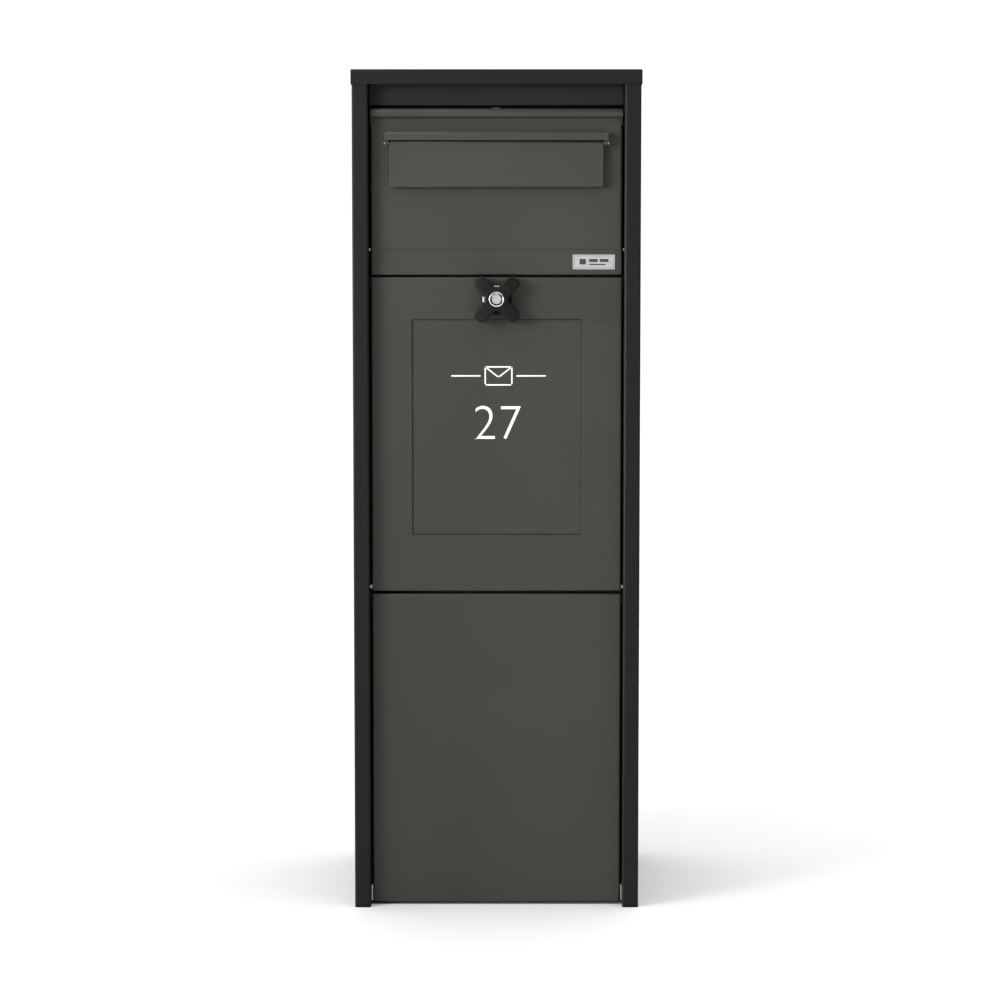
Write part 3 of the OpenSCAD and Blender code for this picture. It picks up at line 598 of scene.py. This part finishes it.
@dataclass
class DoorFilm:
    """White film on the recessed panel: a plain envelope between two rules, and a house number."""

    palette: Palette
    number: str = "27"
    number_z: tuple[float, float] = (710 * MM, 761 * MM)
    number_x: float = 2 * MM
    emblem_x: float = 3 * MM
    rule_z: float = 806 * MM
    rule_gap: float = 8 * MM
    rule_half: float = 70 * MM
    stroke: float = 2.1 * MM
    envelope: tuple[float, float] = (40 * MM, 27 * MM)
    thickness: float = 0.14 * MM
    raise_factor: float = 8.0
    face: float = field(init=False)

    def __post_init__(self) -> None:
        """Reads the panel's face from the frame."""
        self.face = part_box("name_panel")[0][1]

    def build(self) -> None:
        """Makes the number and the envelope on the face of the recessed panel."""
        mount(self._number(), "parcel_door", "front_coat", self.palette, "white_film")
        mount(self._emblem(), "parcel_door", "front_coat", self.palette, "white_film")

    def _number(self) -> bpy.types.Object:
        """The house number, made a mesh and sized to its place."""
        deselect()
        bpy.ops.object.text_add()
        text = active("house_number")
        text.data.body = self.number
        text.data.align_x = "CENTER"
        text.data.resolution_u = 10
        text.data.offset = -0.018
        text.data.extrude = self.thickness * self.raise_factor
        bpy.ops.object.convert(target="MESH")
        piece = active("house_number")
        xs = [v.co.x for v in piece.data.vertices]
        ys = [v.co.y for v in piece.data.vertices]
        size = (self.number_z[1] - self.number_z[0]) / (max(ys) - min(ys))
        middle = (max(xs) + min(xs)) / 2
        piece.data.transform(
            Matrix.Translation((self.number_x, self.face - self.thickness / 2, self.number_z[0]))
            @ TO_FRONT
            @ Matrix.Diagonal((size, size, 1 / (2 * self.raise_factor), 1))
            @ Matrix.Translation((-middle, -min(ys), 0)))
        return settle(piece)

    def _bar(self, start: tuple[float, float], end: tuple[float, float]) -> bpy.types.Object:
        """A straight strip of film between two points of the panel, given as X and Z."""
        run = Vector((end[0] - start[0], 0, end[1] - start[1]))
        half = run.length / 2 + self.stroke / 2
        bar = block((-half, -self.thickness, -self.stroke / 2), (half, 0, self.stroke / 2), "strip",
                    0.03 * MM)
        turn = Matrix.Rotation(-math.atan2(run.z, run.x), 4, "Y")
        place = Matrix.Translation(((start[0] + end[0]) / 2, self.face, (start[1] + end[1]) / 2))
        bar.data.transform(place @ turn)
        return bar

    def _emblem(self) -> bpy.types.Object:
        """An outlined envelope with a rule on each side."""
        half_w, half_h = self.envelope[0] / 2, self.envelope[1] / 2
        middle = self.emblem_x
        left, right = middle - half_w, middle + half_w
        top, bottom = self.rule_z + half_h, self.rule_z - half_h
        flap = (middle, self.rule_z - 2 * MM)
        lines = [((left, top), (right, top)), ((left, bottom), (right, bottom)),
                 ((left, bottom), (left, top)), ((right, bottom), (right, top)),
                 ((left, top), flap), (flap, (right, top)),
                 ((middle - self.rule_half, self.rule_z), (left - self.rule_gap, self.rule_z)),
                 ((right + self.rule_gap, self.rule_z), (middle + self.rule_half, self.rule_z))]
        return settle(join([self._bar(*line) for line in lines], "film_emblem"))


@dataclass
class PanelPaintedShade:
    """Dark bead round the recessed panel, in the corner of the door's cut-out; its dark colour is
    painted shade along the recess's edge.
    """

    palette: Palette
    width: float = 1.3 * MM
    overlap: float = 0.05 * MM
    lap: float = 8 * MM
    setback: float = 0.25 * MM
    edge_round: float = 0.35 * MM

    def build(self) -> None:
        """Makes the four strips of the dark bead, which paint the shade round the panel."""
        low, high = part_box("name_panel")
        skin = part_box("door_skin")[0][1]
        front, back = skin + self.setback, low[1] + self.overlap
        left, right = low[0] + self.lap, high[0] - self.lap
        bottom, top = low[2] + self.lap, high[2] - self.lap
        strips = [(left, right, top - self.width, top), (left, right, bottom, bottom + self.width),
                  (left, left + self.width, bottom, top), (right - self.width, right, bottom, top)]
        shade_strips = [block((x0, front, z0), (x1, back, z1), "painted_shade_strip", self.edge_round)
                 for x0, x1, z0, z1 in strips]
        # The strips' dark rubber colour is painted shade along the recessed panel's edge.
        mount(settle(join(shade_strips, "panel_painted_shade")), "parcel_door", "rubber_stop", self.palette)


@dataclass
class LabelPrint:
    """Plain dark print on the label plate: a thin border and three bars."""

    palette: Palette
    inset: float = 1.8 * MM
    line: float = 0.4 * MM
    thickness: float = 0.06 * MM

    def build(self) -> None:
        """Makes the print just in front of the plate."""
        low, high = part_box("label_plate")
        face = low[1]
        left, right = low[0] + self.inset, high[0] - self.inset
        bottom, top = low[2] + self.inset, high[2] - self.inset
        width, height = right - left, top - bottom
        boxes = [(left, right, top - self.line, top), (left, right, bottom, bottom + self.line),
                 (left, left + self.line, bottom, top), (right - self.line, right, bottom, top)]
        for start, end, level, thick in ((0.14, 0.30, 0.52, 0.44), (0.38, 0.60, 0.62, 0.24),
                                         (0.65, 0.87, 0.62, 0.24), (0.38, 0.80, 0.30, 0.10)):
            middle = bottom + level * height
            boxes.append((left + start * width, left + end * width,
                          middle - thick * height / 2, middle + thick * height / 2))
        parts = [block((x0, face - self.thickness, z0), (x1, face + self.thickness, z1), "print")
                 for x0, x1, z0, z1 in boxes]
        mount(settle(join(parts, "label_print")), "hatch", "label_metal", self.palette,
              "dark_print")


# ---- Studio ----

class Sky(Enum):
    """Even lights of the studio: strength, spread in degrees and the way they travel."""

    OVERHEAD = (2.92, 100.0, (0.0, 0.0, -1.0))
    SIDE = (1.62, 25.0, (0.82, 0.57, -0.05))
    EDGE = (6.0, 4.0, (1.0, 0.09, 0.0))


@dataclass
class Studio:
    """Plain pale floor, soft light and the camera."""

    lens: float = 85.0
    sensor: float = 36.0
    camera_place: Point = (0.00516, -3.722, 0.8805)
    pitch_deg: float = 4.2106
    floor_size: float = 400.0
    sky: float = 0.25
    box_place: Point = (-1.5, -1.2, 1.45)
    box_target: Point = (-0.1, -0.19, 1.0)
    box_size: float = 0.8
    box_power: float = 4.6
    box_spread_deg: float = 70.0

    def build(self) -> None:
        """Sets up the whole studio."""
        self._floor()
        self._sky()
        for sky in Sky:
            self._even_light(sky)
        self._soft_box()
        self._camera()
        bpy.context.scene.view_settings.view_transform = "Standard"

    def _floor(self) -> None:
        """The floor under the box."""
        deselect()
        bpy.ops.mesh.primitive_plane_add(size=self.floor_size)
        floor = active("floor")
        graph = Graph("floor_paper")
        paper = graph.noise(3, 2)
        graph.set(Base_Color=graph.tint(paper, (0.90, 0.90, 0.90), (0.93, 0.93, 0.93)),
                  Roughness=0.95, Specular_IOR_Level=0.0)
        floor.data.materials.append(graph.material)

    def _sky(self) -> None:
        """White surroundings, brighter where they are seen directly."""
        world = bpy.data.worlds.new("white_room")
        world.use_nodes = True
        bpy.context.scene.world = world
        tree = world.node_tree
        back = tree.nodes["Background"]
        back.inputs["Color"].default_value = (1, 1, 1, 1)
        back.inputs["Strength"].default_value = self.sky
        seen = tree.nodes.new("ShaderNodeBackground")
        seen.inputs["Color"].default_value = (1, 1, 1, 1)
        seen.inputs["Strength"].default_value = 1.1
        path = tree.nodes.new("ShaderNodeLightPath")
        mix = tree.nodes.new("ShaderNodeMixShader")
        tree.links.new(path.outputs["Is Camera Ray"], mix.inputs[0])
        tree.links.new(back.outputs[0], mix.inputs[1])
        tree.links.new(seen.outputs[0], mix.inputs[2])
        tree.links.new(mix.outputs[0], tree.nodes["World Output"].inputs[0])

    def _even_light(self, sky: Sky) -> None:
        """One even light, as soft as its spread."""
        strength, spread_deg, travel = sky.value
        deselect()
        bpy.ops.object.light_add(type="SUN", location=(0, 0, 6))
        lamp = active("light_" + sky.name.lower())
        lamp.data.energy = strength
        lamp.data.angle = math.radians(spread_deg)
        lamp.rotation_euler = Vector(travel).to_track_quat("-Z", "Y").to_euler()

    def _soft_box(self) -> None:
        """The soft box at the left, which brightens the upper left of the fronts."""
        deselect()
        bpy.ops.object.light_add(type="AREA", location=self.box_place)
        lamp = active("light_box")
        lamp.data.size = self.box_size
        lamp.data.energy = self.box_power
        lamp.data.spread = math.radians(self.box_spread_deg)
        aim = Vector(self.box_target) - Vector(self.box_place)
        lamp.rotation_euler = aim.to_track_quat("-Z", "Y").to_euler()

    def _camera(self) -> None:
        """Camera straight in front, a little above the middle, looking slightly down."""
        deselect()
        bpy.ops.object.camera_add(location=self.camera_place,
                                  rotation=(math.radians(90 - self.pitch_deg), 0, 0))
        camera = active("camera")
        camera.data.lens = self.lens
        camera.data.sensor_width = self.sensor
        camera.data.clip_end = 200
        bpy.context.scene.camera = camera


def main() -> None:
    """Builds the studio and the box's finishes and pieces in order."""
    logging.basicConfig(level=logging.INFO, format="%(name)s: %(message)s")
    Studio().build()
    palette = Palette()
    CadDressing(palette).build()
    for piece in (Knob(palette), DoorFilm(palette), PanelPaintedShade(palette), LabelPrint(palette)):
        piece.build()


if __name__ == "__main__":
    main()
